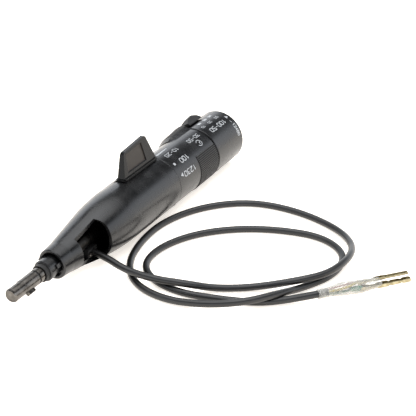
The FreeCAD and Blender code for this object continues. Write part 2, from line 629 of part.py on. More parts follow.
def make_cable_clamp():
    body = doc.addObject("Part::Box", "clamp_block")
    body.setExpression("Length", "Dims.clamp_end - Dims.clamp_start")
    body.setExpression("Width", "Dims.clamp_back - Dims.clamp_face")
    body.setExpression("Height", "Dims.clamp_top - Dims.clamp_bottom")
    bind(body, Placement__Base__x="clamp_start", Placement__Base__y="clamp_face",
         Placement__Base__z="clamp_bottom")
    along_y = FreeCAD.Rotation(AXIS_X, -90)
    holes = []
    for name, at, radius in (("clamp_bore", "cable_at", "cord_radius"),
                             ("clamp_screw_bore", "clamp_screw_at", "clamp_screw_radius")):
        hole = doc.addObject("Part::Cylinder", name)
        hole.Placement = FreeCAD.Placement(Vector(0, sizes["clamp_face"], 0), along_y)
        bind(hole, Radius=radius, Placement__Base__x=at, Placement__Base__z="cable_low")
        hole.setExpression("Height", "Dims.clamp_back - Dims.clamp_face")
        holes.append(hole)
    finish(cut("clamp_cut", body, holes), "cable_clamp")
    shank = doc.addObject("Part::Cylinder", "clamp_screw_shank")
    head = doc.addObject("Part::Cylinder", "clamp_screw_head")
    for stud, radius, start in ((shank, "clamp_screw_radius", 0.0),
                                (head, "clamp_head_radius", -sizes["clamp_head_length"])):
        stud.Placement = FreeCAD.Placement(Vector(0, sizes["clamp_face"] + start, 0), along_y)
        bind(stud, Radius=radius, Placement__Base__x="clamp_screw_at",
             Placement__Base__z="cable_low")
    shank.setExpression("Height", "Dims.clamp_back - Dims.clamp_face")
    bind(head, Height="clamp_head_length")
    finish(fuse("clamp_screw_whole", [shank, head]), "clamp_screw")

    route = [Vector(sizes["cable_at"], sizes["clamp_face"], sizes["cable_low"]),
             Vector(sizes["cable_at"], sizes["cable_side"] + 1.0, sizes["cable_low"]),
             Vector(sizes["cable_at"] + 14, sizes["cable_side"], sizes["cable_low"]),
             Vector(sizes["cable_end"], sizes["cable_side"], sizes["cable_low"])]
    finish_shape(tube_along(route, sizes["cord_radius"], "inner_cable"), "inner_cable")


# ---------------------------------------------------------------- twist band and turning shaft
def make_wiper_drive():
    tip = turned("tip_body", [
        ("origin", "origin"), ("origin", "rod_nose_radius"), ("rod_nose", "rod_radius"),
        ("rod_step", "rod_radius"), ("rod_step", "rod_body_radius"),
        ("groove_start", "rod_body_radius"), ("groove_start", "groove_radius"),
        ("groove_end", "groove_radius"), ("groove_end", "rod_body_radius"),
        ("rod_length", "rod_body_radius"), ("rod_length", "origin"),
    ])
    finish(tip, "shaft_tip")
    finish(bush("rod_ring_body", "groove_start", "groove_end", "ring_seat", "groove_radius"),
           "rod_ring")
    lug = block("lug_block", "lug_start", "lug_end", "lug_half", "lug_bottom", "lug_top")
    finish(cut("lug_cut", lug, [drum("lug_seat", "lug_start", "lug_end", "rod_body_radius")]),
           "key_lug", sizes["lug_angle"])
    shaft = drum("shaft_drum", "rod_length", "shaft_end", "shaft_radius")
    finish(wrapped(shaft, "shaft_whole"), "actuator_shaft")

    boss = bush("drive_boss_body", "drive_start", "drive_end", "drive_boss", "drive_bore")
    arm = sector("drive_arm", "drive_start", "drive_end", "arm_root", "ring_bore",
                 "drive_arm_half")
    pocket = drum("ball_pocket", "drive_start", "pocket_end", "ball_bore", 0.0,
                  sizes["detent_circle"])
    pin_hole = doc.addObject("Part::Cylinder", "pin_hole")
    bind(pin_hole, Radius="pin_radius", Height="pin_span", Placement__Base__x="pin_position",
         Placement__Base__z="pin_low")
    hub = cut("drive_hub_cut", fuse("drive_hub_whole", [boss, arm]), [pocket, pin_hole])
    finish(hub, "drive_hub", sizes["drive_arm_angle"])
    pin = doc.addObject("Part::Cylinder", "pin_rod")
    bind(pin, Radius="pin_radius", Height="pin_reach", Placement__Base__x="pin_position",
         Placement__Base__z="shaft_radius")
    finish(wrapped(pin, "pin_whole"), "hub_pin", sizes["drive_arm_angle"])

    ball_at = sizes["detent_end"] + sizes["ball_gap"] + sizes["ball_radius"]
    ball = Part.makeSphere(sizes["ball_radius"], Vector(ball_at, 0, sizes["detent_circle"]))
    finish_shape(ball, "detent_ball", sizes["drive_arm_angle"])
    spring = coil("detent_spring_start", "pocket_end", "detent_spring_radius", "spring_wire", 5)
    spring.translate(Vector(0, 0, sizes["detent_circle"]))
    finish_shape(spring, "detent_spring", sizes["drive_arm_angle"])


def make_ring():
    ring = turned("ring_body", [
        ("ring_start", "ring_bore"), ("ring_start", "ring_lip"), ("ring_lip_at", "ring_radius"),
        ("ring_lip_end", "ring_radius"), ("ring_end", "ring_lip"), ("ring_end", "ring_bore"),
    ])
    pieces = [ring, far_pad()]
    first = sizes["ridge_first"]
    for number in range(28):
        pieces.append(ridge("near_ridge_%d" % number, first + number * sizes["ridge_pitch"]))
    for number in range(18):
        angle = sizes["pad_near"] - 4 - number * sizes["ridge_pitch"]
        pieces.append(ridge("far_ridge_%d" % number, angle, True))
    finish(fuse("ring_whole", pieces), "wiper_band")


def far_pad():
    """The finger rest on the band's far side: a steep brow, then a gentle ramp."""
    pad = doc.addObject("Part::Feature", "far_pad")
    sections = []
    for station, crown in (("pad_start", "pad_low"), ("pad_brow", "pad_brow_height"),
                           ("pad_end", "pad_high")):
        sections.append(pad_section(sizes[station], sizes[crown]))
    pad.Shape = Part.makeLoft(sections, True, True)
    return pad


def pad_section(station, crown):
    """The finger rest's outline across the axis, with its crown at one radius."""

    def at(angle, radius):
        around = FreeCAD.Rotation(AXIS_X, angle).multVec(Vector(0, 0, radius))
        return Vector(station, around.y, around.z)

    def arc(start, end, radius):
        return Part.Arc(at(start, radius), at((start + end) / 2, radius), at(end, radius)).toShape()

    root = sizes["pad_root"]
    skin = sizes["ring_radius"]
    near_foot = sizes["pad_near_foot"]
    near = sizes["pad_near"]
    far = sizes["pad_far"]
    far_foot = sizes["pad_far_foot"]
    return Part.Wire([
        arc(far_foot, near_foot, root),
        Part.LineSegment(at(near_foot, root), at(near_foot, skin)).toShape(),
        Part.LineSegment(at(near_foot, skin), at(near, crown)).toShape(),
        arc(near, far, crown),
        Part.LineSegment(at(far, crown), at(far_foot, skin)).toShape(),
        Part.LineSegment(at(far_foot, skin), at(far_foot, root)).toShape(),
    ])


def ridge(name, angle, on_pad=False):
    """One fine rib of a grip, on the band or up the ramp of its finger rest."""
    rib = doc.addObject("Part::Box", name)
    lean = 0.0
    start = sizes["ridge_start"]
    seat = sizes["ring_radius"]
    if on_pad:
        rise = sizes["pad_high"] - sizes["pad_brow_height"]
        slope = rise / (sizes["pad_end"] - sizes["pad_brow"])
        lean = -math.degrees(math.atan(slope))
        start = sizes["ridge_far_start"]
        seat = sizes["pad_brow_height"] + slope * (start - sizes["pad_brow"])
    turn = FreeCAD.Rotation(AXIS_X, angle).multiply(FreeCAD.Rotation(AXIS_Y, lean))
    foot = turn.multVec(Vector(0, -sizes["ridge_width"] / 2, seat - sizes["ridge_height"]))
    rib.Placement = FreeCAD.Placement(Vector(start, foot.y, foot.z), turn)
    rib.Length = sizes["ridge_stop"] - start
    bind(rib, Width="ridge_width")
    rib.setExpression("Height", "2 * Dims.ridge_height")
    return rib


# ---------------------------------------------------------------- washer paddle
def make_paddle():
    fin = plate("fin_body", [
        ("fin_left_foot", "fin_foot"), ("fin_left_top", "fin_left_height"),
        ("fin_right_top", "fin_right_height"), ("fin_right_foot", "fin_foot"),
    ], "fin_half")
    corner_fillet(fin, "fin_body_pad", "fin_round")
    panel = plate("panel_body", [
        ("panel_left", "panel_bottom"), ("panel_left_top", "panel_left_height"),
        ("panel_right_top", "panel_right_height"), ("panel_right", "panel_bottom"),
    ], "panel_half")
    rise = sizes["fin_right_height"] - sizes["fin_foot"]
    lean = (sizes["fin_half"] - sizes["fin_top_half"]) / rise
    panel_at = wrapped(panel, "panel_whole")
    panel_at.Placement = FreeCAD.Placement(
        Vector(0, -sizes["fin_half"] - lean * sizes["fin_foot"], 0),
        FreeCAD.Rotation(AXIS_X, -math.degrees(math.atan(lean))))
    taper = prism("fin_taper", "fin_left_foot", "fin_right_foot", [
        (-sizes["fin_half"], sizes["fin_foot"]), (sizes["fin_half"], sizes["fin_foot"]),
        (sizes["fin_top_half"], sizes["fin_right_height"]),
        (-sizes["fin_top_half"], sizes["fin_right_height"])])
    shaped = doc.addObject("Part::Common", "fin_shaped")
    shaped.Base = fin
    shaped.Tool = taper
    foot = block("foot_block", "fin_left_foot", "fin_right_foot", "foot_half", "fin_foot",
                 "foot_top")
    stem = block("stem_block", "stem_start", "stem_end", "paddle_half", "stem_bottom", "foot_top")
    shoe = sector("shoe_slab", "shoe_start", "shoe_end", "shoe_inner", "shoe_outer", "shoe_half")
    blade = cut("fin_cut", shaped, [panel_at])
    finish(fuse("paddle_whole", [blade, foot, stem, shoe]), "washer_paddle",
           sizes["paddle_angle"])

    pieces = []
    for name, start, end in (("yoke_front", "yoke_front", "yoke_front_end"),
                             ("yoke_rear", "yoke_rear", "yoke_rear_end")):
        pieces.append(bush(name + "_body", start, end, "yoke_outer", "yoke_bore"))
        pieces.append(block(name + "_arm", start, end, "arm_half", "arm_bottom", "arm_top"))
    pieces.append(block("yoke_bridge", "yoke_front", "yoke_rear_end", "arm_half", "bridge_low",
                        "arm_top"))
    finish(fuse("yoke_whole", pieces), "paddle_yoke", sizes["paddle_angle"])
    spring = coil("torsion_start", "torsion_end", "torsion_radius", "torsion_wire", 6)
    finish_shape(spring, "paddle_spring")


def corner_fillet(body, base_name, radius):
    """Round a plate's two upper corners."""
    base = doc.getObject(base_name)
    top = max(edge.CenterOfMass.z for edge in base.Shape.Edges)
    names = ["Edge%d" % number for number, edge in enumerate(base.Shape.Edges, start=1)
             if edge.BoundBox.XLength < 1e-6 and edge.BoundBox.ZLength < 1e-6
             and edge.CenterOfMass.z > top - 6]
    fillet = body.newObject("PartDesign::Fillet", base_name + "_corners")
    fillet.Base = (base, names)
    bind(fillet, Radius=radius)
    doc.recompute()


# ---------------------------------------------------------------- cruise slider and end button
def make_slider():
    profile = plate("knob_body", [
        ("knob_start", "knob_base"), ("knob_start", "knob_nose"), ("knob_ramp", "knob_ramp_top"),
        ("knob_crest", "knob_top"), ("knob_end", "knob_back"), ("knob_end", "knob_base"),
    ], "knob_half")
    low = sizes["knob_base"]
    top = sizes["knob_top"]
    far = sizes["knob_far"]
    crown = prism("knob_section", "knob_start", "knob_end", [
        (far, low), (far, sizes["knob_far_top"]), (sizes["knob_flat"], top), (0, top),
        (-sizes["knob_half"], sizes["knob_near_top"]), (-sizes["knob_half"], low)])
    knob = doc.addObject("Part::Common", "knob_shaped")
    knob.Base = profile
    knob.Tool = crown
    stem = block("slide_stem", "stem_slide_start", "stem_slide_end", "stem_slide_half",
                 "carriage_top", "knob_nose")
    finish(fuse("knob_whole", [knob, stem]), "slide_knob", sizes["slider_angle"])
    slab = block("carriage_slab", "carriage_start", "carriage_end", "carriage_half",
                 "carriage_bottom", "carriage_top")
    limit = drum("carriage_limit", "carriage_start", "carriage_end", "carriage_reach")
    carriage = doc.addObject("Part::Common", "carriage_common")
    carriage.Base = slab
    carriage.Tool = limit
    finish(carriage, "slide_carriage", sizes["slider_angle"])
    bridge = block("bridge_strip", "bridge_start", "bridge_end", "bridge_half", "bridge_bottom",
                   "carriage_bottom")
    finish(wrapped(bridge, "bridge_whole"), "bridge_contact", sizes["slider_angle"])


def make_button():
    button = turned("button_body", [
        ("button_flange_start", "origin"), ("button_flange_start", "button_flange"),
        ("button_start", "button_flange"), ("button_start", "button_radius"),
        ("button_edge_at", "button_radius"), ("button_end", "button_edge_radius"),
        ("button_end", "origin"),
    ])
    finish(button, "set_button")
    plunger = drum("plunger_drum", "plunger_start", "button_flange_start", "plunger_radius")
    finish(wrapped(plunger, "plunger_whole"), "set_plunger")


# ---------------------------------------------------------------- cable lead
def make_lead():
    lift = sizes["axis_height"]
    route = [Vector(x, y, z - lift) for x, y, z in CORD_ROUTE]
    finish_shape(tube_along(route, sizes["cord_radius"], "cord"), "cord")
    heading = (route[-1] - route[-2]).normalize()
    finish_shape(sleeve_shape(route[-1], heading), "clear_sleeve")
    along = FreeCAD.Rotation(AXIS_X, heading)
    for name, side, up in (("yellow", 1, 1), ("green", 1, -1), ("red", -1, 1), ("white", -1, -1)):
        shift = along.multVec(Vector(0, side, up) * (sizes["wire_spread"] / math.sqrt(2)))
        wire = Part.makeCylinder(sizes["wire_radius"], sizes["wire_length"], route[-1] + shift,
                                 heading)
        finish_shape(wire, "wire_" + name)
    start = route[-1] + heading * sizes["wire_length"]
    for name, side in (("upper", 1), ("lower", -1)):
        finish_shape(terminal_shape(start, along, side), "terminal_" + name)


def sleeve_shape(jacket_end, heading):
    """A thin clear tube shrunk onto the jacket at one end."""
    wall = sizes["sleeve_wall"]
    wide = sizes["sleeve_radius"]
    outline_points = [
        (0, sizes["sleeve_bore"]), (0, sizes["sleeve_neck"]),
        (sizes["sleeve_overlap"], sizes["sleeve_neck"]), (sizes["sleeve_taper"] * 2, wide),
        (sizes["sleeve_length"], wide), (sizes["sleeve_length"], wide - wall),
        (sizes["sleeve_taper"] * 2, wide - wall), (sizes["sleeve_overlap"], sizes["sleeve_bore"]),
    ]
    corners = [Vector(x, 0, radius) for x, radius in outline_points]
    face = Part.Face(Part.makePolygon(corners + corners[:1]))
    shape = face.revolve(Vector(0, 0, 0), AXIS_X, 360)
    start = jacket_end - heading * sizes["sleeve_overlap"]
    shape.Placement = FreeCAD.Placement(start, FreeCAD.Rotation(AXIS_X, heading))
    return shape


def terminal_shape(start, along, side):
    """A flat brass strip with a crimped barrel at the wire end."""
    width = sizes["terminal_width"]
    thick = sizes["terminal_thick"]
    centre = side * sizes["terminal_gap"]
    strip = Part.makeBox(sizes["terminal_length"], width, thick,
                         Vector(0, -width / 2, centre - thick / 2))
    barrel = Part.makeCylinder(sizes["barrel_outer"], sizes["barrel_length"],
                               Vector(0, 0, centre), AXIS_X)
    shape = strip.fuse(barrel).removeSplitter()
    shape.Placement = FreeCAD.Placement(start, along)
    return shape


# ---------------------------------------------------------------- build and export
make_housing()
make_screws("body_screw_at", "body_screws")
make_bearings()
make_carrier()
make_cap()
make_screws("cap_screw_at", "cap_screws")
make_switchgear()
make_cable_clamp()
make_wiper_drive()
make_ring()
make_paddle()
make_slider()
make_button()
make_lead()
doc.recompute()

for thing in doc.Objects:
    if "Invalid" in thing.State or "Error" in thing.State:
        raise RuntimeError("%s failed to build: %s" % (thing.Name, thing.State))

os.makedirs("parts", exist_ok=True)
for thing in parts:
    shape = thing.Shape
    if shape.isNull() or not shape.isValid() or not shape.Solids:
        raise RuntimeError("%s has no valid solid" % thing.Label)
for thing in parts:
    thing.Shape.exportStep("parts/%s.step" % thing.Label)

print("parts", len(parts))
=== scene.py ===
"""Looks of a steering-column control lever: camera, cable lead, printed marks, materials,
floor and light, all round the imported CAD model.

Lever coordinates: s runs from the rod tip to the end cap, angles round the axis start at
the top and grow towards -Y, and radii are from the axis. Lengths in them are in mm.
"""
import json
import math

import bmesh
import bpy
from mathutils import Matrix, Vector, noise


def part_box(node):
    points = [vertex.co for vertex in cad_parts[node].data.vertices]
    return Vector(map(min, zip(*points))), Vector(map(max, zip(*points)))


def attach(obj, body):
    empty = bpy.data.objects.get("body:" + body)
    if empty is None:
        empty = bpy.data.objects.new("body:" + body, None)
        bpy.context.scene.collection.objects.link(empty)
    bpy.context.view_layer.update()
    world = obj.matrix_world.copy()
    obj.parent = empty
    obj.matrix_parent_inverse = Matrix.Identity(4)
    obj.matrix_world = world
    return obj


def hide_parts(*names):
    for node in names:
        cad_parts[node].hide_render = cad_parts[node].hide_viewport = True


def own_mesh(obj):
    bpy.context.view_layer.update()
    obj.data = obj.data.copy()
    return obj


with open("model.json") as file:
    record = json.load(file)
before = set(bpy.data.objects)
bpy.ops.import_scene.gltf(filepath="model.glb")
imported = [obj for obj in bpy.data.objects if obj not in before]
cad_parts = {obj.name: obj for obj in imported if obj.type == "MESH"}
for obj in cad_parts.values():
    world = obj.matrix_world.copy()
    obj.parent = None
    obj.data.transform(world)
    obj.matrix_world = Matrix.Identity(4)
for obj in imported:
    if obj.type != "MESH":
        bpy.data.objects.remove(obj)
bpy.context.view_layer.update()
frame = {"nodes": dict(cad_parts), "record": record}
nodes = frame["nodes"]

MM = 0.001
UP = Vector((0, 0, 1))
ALONG = Vector((1, 0, 0))

# The lever's own place in the frame.
cap_low, cap_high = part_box("end_cap")
TIP_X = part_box("shaft_tip")[0].x
AXIS_Y = (cap_low.y + cap_high.y) / 2
AXIS_Z = (cap_low.z + cap_high.z) / 2
CAP_RADIUS = (cap_high.z - cap_low.z) / 2 / MM
BAND_RADIUS = 16.25

# The camera's lens, and its place and target from the rod tip, the axis and the surface (m).
CAMERA_LENS = 121.15
CAMERA_SENSOR = 36.0
CAMERA_PLACE = (-0.4734, -0.3882, 0.4007)
CAMERA_TARGET = (0.1572, -0.0259, 0.0)

# The paddle's fin: its angle round the lever, the radii of foot and top, and half thicknesses.
FIN_ANGLE = -9.0
FIN_FOOT = 16.85
FIN_TOP = 33.4
FIN_FOOT_HALF = 2.6
FIN_TOP_HALF = 1.1

# The fin's skirt, and the ends of the fin's foot along the lever with their slopes.
SKIRT_HEIGHT = 3.2
SKIRT_FLARE = 1.0
SKIRT_SUNK = 0.08
FIN_NEAR = 108.6
FIN_NEAR_SLOPE = 0.325
FIN_FAR = 142.0
FIN_FAR_SLOPE = 0.338
FIN_TAPER = 0.0906

# The band's grip ribs, and how far ink stands out of a surface and reaches into it.
RIB_ROOT = 16.3
RIB_TOP = 16.65
INK_PROUD = 0.05
INK_SUNK = 0.06


def on_lever(s, angle, radius):
    """The row-frame point at a place on the lever."""
    turn = math.radians(angle)
    return Vector((TIP_X + s * MM, AXIS_Y - radius * MM * math.sin(turn),
                   AXIS_Z + radius * MM * math.cos(turn)))


# ---------------------------------------------------------------- camera
def make_camera():
    data = bpy.data.cameras.new("camera")
    data.lens = CAMERA_LENS
    data.sensor_width = CAMERA_SENSOR
    data.clip_start = 0.05
    data.clip_end = 30.0
    camera = bpy.data.objects.new("camera", data)
    datum = Vector((TIP_X, AXIS_Y, 0.0))
    camera.location = datum + Vector(CAMERA_PLACE)
    target = datum + Vector(CAMERA_TARGET)
    camera.rotation_mode = "QUATERNION"
    camera.rotation_quaternion = (target - camera.location).to_track_quat("-Z", "Y")
    bpy.context.scene.collection.objects.link(camera)
    bpy.context.scene.camera = camera


# ---------------------------------------------------------------- node helpers
class Nodes:
    """A material being built, with short calls for the nodes that every finish uses."""

    def __init__(self, name):
        self.material = bpy.data.materials.new(name)
        self.material.use_nodes = True
        self.tree = self.material.node_tree
        self.shader = self.tree.nodes["Principled BSDF"]
        self.place = self.add("ShaderNodeTexCoord").outputs["Object"]

    def add(self, kind, **values):
        node = self.tree.nodes.new(kind)
        for key, value in values.items():
            if key in node.inputs:
                node.inputs[key].default_value = value
            else:
                setattr(node, key, value)
        return node

    def join(self, output, target):
        self.tree.links.new(output, target)

    def noise(self, scale, detail=3.0, stretch=None, roughness=0.5):
        node = self.add("ShaderNodeTexNoise", Scale=scale, Detail=detail, Roughness=roughness)
        source = self.place
        if stretch:
            mapping = self.add("ShaderNodeMapping", Scale=stretch)
            self.join(source, mapping.inputs["Vector"])
            source = mapping.outputs["Vector"]
        self.join(source, node.inputs["Vector"])
        return node.outputs["Fac"]

    def spread(self, source, low, high, start=0.3, end=0.7):
        """Map a texture onto a range of numbers."""
        node = self.add("ShaderNodeMapRange")
        for key, value in (("From Min", start), ("From Max", end), ("To Min", low), ("To Max", high)):
            node.inputs[key].default_value = value
        self.join(source, node.inputs["Value"])
        return node.outputs["Result"]

    def blend(self, factor, first, second):
        """Mix two colours, each a colour or a socket."""
        node = self.add("ShaderNodeMix", data_type="RGBA")
        self.join(factor, node.inputs["Factor"])
        for socket, value in ((node.inputs[6], first), (node.inputs[7], second)):
            if isinstance(value, bpy.types.NodeSocket):
                self.join(value, socket)
            else:
                socket.default_value = (*value, 1.0)
        return node.outputs[2]

    def beyond(self, direction, distance, soft=0.2):
        """1 further than a distance (mm) from the axis along a direction, and 0 before it."""
        along = self.add("ShaderNodeVectorMath", operation="DOT_PRODUCT")
        self.join(self.place, along.inputs[0])
        along.inputs[1].default_value = direction
        start = direction.dot(on_lever(0, 0, 0)) + distance * MM
        return self.spread(along.outputs["Value"], 0.0, 1.0, start, start + soft * MM)

    def radius(self):
        """The distance from the lever's axis."""
        shift = self.add("ShaderNodeVectorMath", operation="SUBTRACT")
        self.join(self.place, shift.inputs[0])
        shift.inputs[1].default_value = on_lever(0, 0, 0)
        across = self.add("ShaderNodeVectorMath", operation="MULTIPLY")
        self.join(shift.outputs["Vector"], across.inputs[0])
        across.inputs[1].default_value = (0.0, 1.0, 1.0)
        length = self.add("ShaderNodeVectorMath", operation="LENGTH")
        self.join(across.outputs["Vector"], length.inputs[0])
        return length.outputs["Value"]

    def both(self, *masks, operation="MULTIPLY"):
        """Where all the masks are 1, or the operation's mix of them."""
        result = masks[0]
        for mask in masks[1:]:
            node = self.add("ShaderNodeMath", operation=operation)
            self.join(result, node.inputs[0])
            self.join(mask, node.inputs[1])
            result = node.outputs["Value"]
        return result

    def rounded(self, radius):
        """Normals that run round the sharp edges, and a mask of those edges."""
        soft = self.add("ShaderNodeBevel", Radius=radius, samples=4)
        flat = self.add("ShaderNodeNewGeometry")
        dot = self.add("ShaderNodeVectorMath", operation="DOT_PRODUCT")
        self.join(soft.outputs["Normal"], dot.inputs[0])
        self.join(flat.outputs["Normal"], dot.inputs[1])
        return soft.outputs["Normal"], self.spread(dot.outputs["Value"], 1.0, 0.0, 0.80, 0.995)

    def bump(self, height, strength, distance, normal=None):
        node = self.add("ShaderNodeBump", Strength=strength, Distance=distance)
        self.join(height, node.inputs["Height"])
        if normal is not None:
            self.join(normal, node.inputs["Normal"])
        self.join(node.outputs["Normal"], self.shader.inputs["Normal"])

    def set(self, **values):
        for key, value in values.items():
            self.shader.inputs[key.replace("_", " ")].default_value = value

    def feed(self, socket, output):
        self.join(output, self.shader.inputs[socket])


def outward(angle):
    """The unit vector away from the axis at an angle round the lever."""
    turn = math.radians(angle)
    return Vector((0, -math.sin(turn), math.cos(turn)))


def moulded(name, dark, light, rough, grain=900.0, depth=0.05, edge=0.25, worn=None, inset=None):
    """Moulded plastic: fine grain, slow patches of polish, and softened, lightly rubbed edges.

    An inset is a function that gives a mask, with a colour and a roughness inside it.
    """
    m = Nodes(name)
    normal, edges = m.rounded(edge * MM)
    patches = m.noise(60.0, 4.0)
    fine = m.noise(grain, 2.0)
    colour = m.blend(m.spread(patches, 0.0, 1.0), dark, light)
    if worn:
        rub = m.add("ShaderNodeMath", operation="MULTIPLY")
        m.join(edges, rub.inputs[0])
        m.join(m.spread(m.noise(220.0, 4.0), 0.1, 0.8), rub.inputs[1])
        colour = m.blend(rub.outputs["Value"], colour, worn)
    polish = m.spread(m.noise(140.0, 5.0), rough[0], rough[1])
    if inset:
        mask, inset_colour, inset_polish = inset(m)
        colour = m.blend(mask, colour, inset_colour)
        mix = m.add("ShaderNodeMix")
        m.join(mask, mix.inputs[0])
        m.join(polish, mix.inputs[2])
        m.join(inset_polish, mix.inputs[3])
        polish = mix.outputs[0]
    m.feed("Base Color", colour)
    m.feed("Roughness", polish)
    m.bump(fine, depth, 0.00004, normal)
    return m


def grip_patches(m):
    """The band's ribbed grip and far finger rest: matt, with painted shade between the ribs and rib
    tops lighter from wear and painted sheen.
    """
    near = m.both(m.beyond(ALONG, 165.4), m.beyond(outward(105), 9.3))
    far = m.both(m.beyond(ALONG, 167.8), m.beyond(outward(-71), 12.4))
    tops = m.spread(m.radius(), 0.0, 1.0, RIB_ROOT * MM, RIB_TOP * MM)
    # Colour by rib height: painted shade down between the ribs, and rib tops lighter from wear and
    # painted sheen.
    colour = m.blend(tops, (0.0004, 0.0004, 0.0004), (0.011, 0.0105, 0.010))
    polish = m.spread(tops, 0.95, 0.42, 0.0, 1.0)
    return m.both(near, far, operation="MAXIMUM"), colour, polish


def fin_panel(m):
    """The sunk panel on the near face of the paddle's fin, a little browner and duller."""
    tilt = math.atan((FIN_FOOT_HALF - FIN_TOP_HALF) / (FIN_TOP - FIN_FOOT))
    face = outward(FIN_ANGLE + 90) * math.cos(tilt) + outward(FIN_ANGLE) * math.sin(tilt)
    depth = FIN_FOOT_HALF * math.cos(tilt) + FIN_FOOT * math.sin(tilt) - 0.35
    mask = m.both(m.beyond(ALONG, 113.8), m.beyond(-ALONG, -132.4), m.beyond(-face, -depth, 0.05),
                  m.beyond(outward(FIN_ANGLE), 19.8), m.beyond(-outward(FIN_ANGLE), -30.9),
                  m.beyond(outward(FIN_ANGLE + 90), 0.0))
    grain = m.noise(700.0, 3.0)
    colour = m.blend(grain, (0.022, 0.018, 0.015), (0.036, 0.030, 0.025))
    return mask, colour, m.spread(grain, 0.34, 0.48)


def knob_crest_highlight(m):
    """A painted highlight: a pale line along the slide knob's crest, where its edge catches the
    light.
    """
    height = m.spread(m.radius(), 0.0, 1.0, 20.2 * MM, 20.5 * MM)
    mask = m.both(m.beyond(ALONG, 201.7), m.beyond(-ALONG, -203.1), height)
    crest_noise = m.noise(800.0, 3.0)
    # Pale grey on the crest is painted highlight, made uneven in brightness and roughness by noise.
    return mask, m.blend(crest_noise, (0.16, 0.16, 0.16), (0.32, 0.32, 0.31)), m.spread(crest_noise, 0.25, 0.35)


def metal(name, dark, light, rough, stretch, scale=500.0, depth=0.08):
    """Drawn or turned metal: fine lines one way, with tarnish in patches."""
    m = Nodes(name)
    m.set(Metallic=1.0)
    normal, edges = m.rounded(0.15 * MM)
    lines = m.noise(scale, 3.0, stretch)
    patches = m.noise(260.0, 5.0, None, 0.65)
    colour = m.blend(m.spread(patches, 0.0, 1.0, 0.35, 0.65), dark, light)
    m.feed("Base Color", m.blend(m.spread(edges, 0.0, 0.5), colour, [value * 1.3 for value in light]))
    m.feed("Roughness", m.spread(lines, rough[0], rough[1]))
    m.bump(lines, depth, 0.00003, normal)
    return m


def make_materials():
    made = {}

    def keep(slot, nodes_made):
        made[slot] = nodes_made.material

    dark = (0.0012, 0.0014, 0.0017)
    light = (0.0026, 0.0026, 0.0027)
    rub = (0.010, 0.0095, 0.009)
    satin = (0.20, 0.31)
    keep("black_plastic", moulded("black_plastic", dark, light, satin, 1400.0, 0.06, 0.3, rub))
    # The band's grip patches carry painted shade between their ribs and painted sheen on the rib
    # tops.
    keep("band", moulded("band_plastic", dark, light, satin, 1400.0, 0.06, 0.06,
                         inset=grip_patches))
    fin = moulded("fin_plastic", dark, light, satin, 1400.0, 0.06, 0.25, rub, fin_panel)
    fin.set(Specular_IOR_Level=0.2)
    keep("fin", fin)
    # The grip finish carries the painted highlight along the slide knob's crest.
    grip = moulded("grip_plastic", (0.001, 0.001, 0.001), (0.0024, 0.0024, 0.0024), (0.44, 0.58),
                   1600.0, 0.1, 0.3, rub, knob_crest_highlight)
    grip.set(Specular_IOR_Level=0.25)
    keep("grip", grip)
    keep("dark_steel", metal("dark_steel", (0.012, 0.011, 0.010), (0.030, 0.028, 0.026),
                             (0.24, 0.42), (1.0, 0.05, 0.05), 900.0, 0.12))
    keep("boot", moulded("green_boot", (0.05, 0.15, 0.10), (0.09, 0.23, 0.16), (0.30, 0.42), 900.0,
                         0.15, 0.1))
    keep("inner_plastic", moulded("inner_plastic", (0.0012, 0.0012, 0.0012), (0.003, 0.003, 0.003),
                                  (0.5, 0.66), 900.0, 0.12, 0.2))
    keep("seal_rubber", moulded("seal_rubber", (0.002, 0.002, 0.002), (0.006, 0.0055, 0.005),
                                (0.5, 0.7), 1200.0, 0.15, 0.2))
    keep("cord_jacket", moulded("cord_jacket", (0.0018, 0.0018, 0.002), (0.004, 0.0038, 0.0038),
                                (0.27, 0.40), 700.0, 0.12, 0.1))
    keep("board", moulded("board", (0.15, 0.10, 0.035), (0.19, 0.13, 0.05), (0.35, 0.5), 2500.0,
                          0.15, 0.1))
    keep("steel", metal("steel", (0.065, 0.06, 0.054), (0.15, 0.14, 0.128), (0.14, 0.27),
                        (1.0, 0.05, 0.05), 900.0, 0.12))
    keep("brass", metal("brass", (0.24, 0.20, 0.11), (0.50, 0.45, 0.30), (0.22, 0.40),
                        (0.1, 1.0, 1.0), 1600.0, 0.15))
    for colour, deep, pale in (("yellow", (0.30, 0.22, 0.012), (0.42, 0.33, 0.03)),
                                ("green", (0.004, 0.045, 0.022), (0.012, 0.10, 0.062)),
                                ("red", (0.20, 0.022, 0.015), (0.30, 0.055, 0.04)),
                                ("white", (0.28, 0.27, 0.25), (0.36, 0.35, 0.33))):
        keep("wire_" + colour, moulded("wire_" + colour, deep, pale, (0.28, 0.42), 900.0, 0.15, 0.1))
    made["clear_film"] = film_material()
    made["print"] = print_material()
    return made


def film_material():
    """Thin clear tube, milky along its creases."""
    m = Nodes("clear_film")
    streaks = m.noise(420.0, 4.0, (0.35, 1.0, 1.0), 0.6)
    clouds = m.noise(150.0, 3.0)
    m.feed("Base Color", m.blend(m.spread(clouds, 0.0, 1.0), (0.42, 0.41, 0.37), (0.56, 0.55, 0.51)))
    m.feed("Roughness", m.spread(clouds, 0.10, 0.28))
    rim = m.add("ShaderNodeLayerWeight", Blend=0.35)
    weight = m.add("ShaderNodeMath", operation="MULTIPLY_ADD")
    m.join(rim.outputs["Facing"], weight.inputs[0])
    weight.inputs[1].default_value = 0.40
    m.join(m.spread(streaks, 0.08, 0.34), weight.inputs[2])
    m.feed("Alpha", weight.outputs["Value"])
    m.bump(streaks, 0.25, 0.0001)
    m.set(IOR=1.5)
    return m.material


def print_material():
    """Pad-printed white ink, a little uneven."""
    m = Nodes("white_print")
    specks = m.noise(2600.0, 4.0, None, 0.7)
    m.feed("Base Color", m.blend(m.spread(specks, 0.0, 1.0, 0.3, 0.55), (0.24, 0.25, 0.26),
                                 (0.38, 0.39, 0.40)))
    m.feed("Roughness", m.spread(specks, 0.45, 0.6))
    m.bump(specks, 0.1, 0.00002)
    return m.material


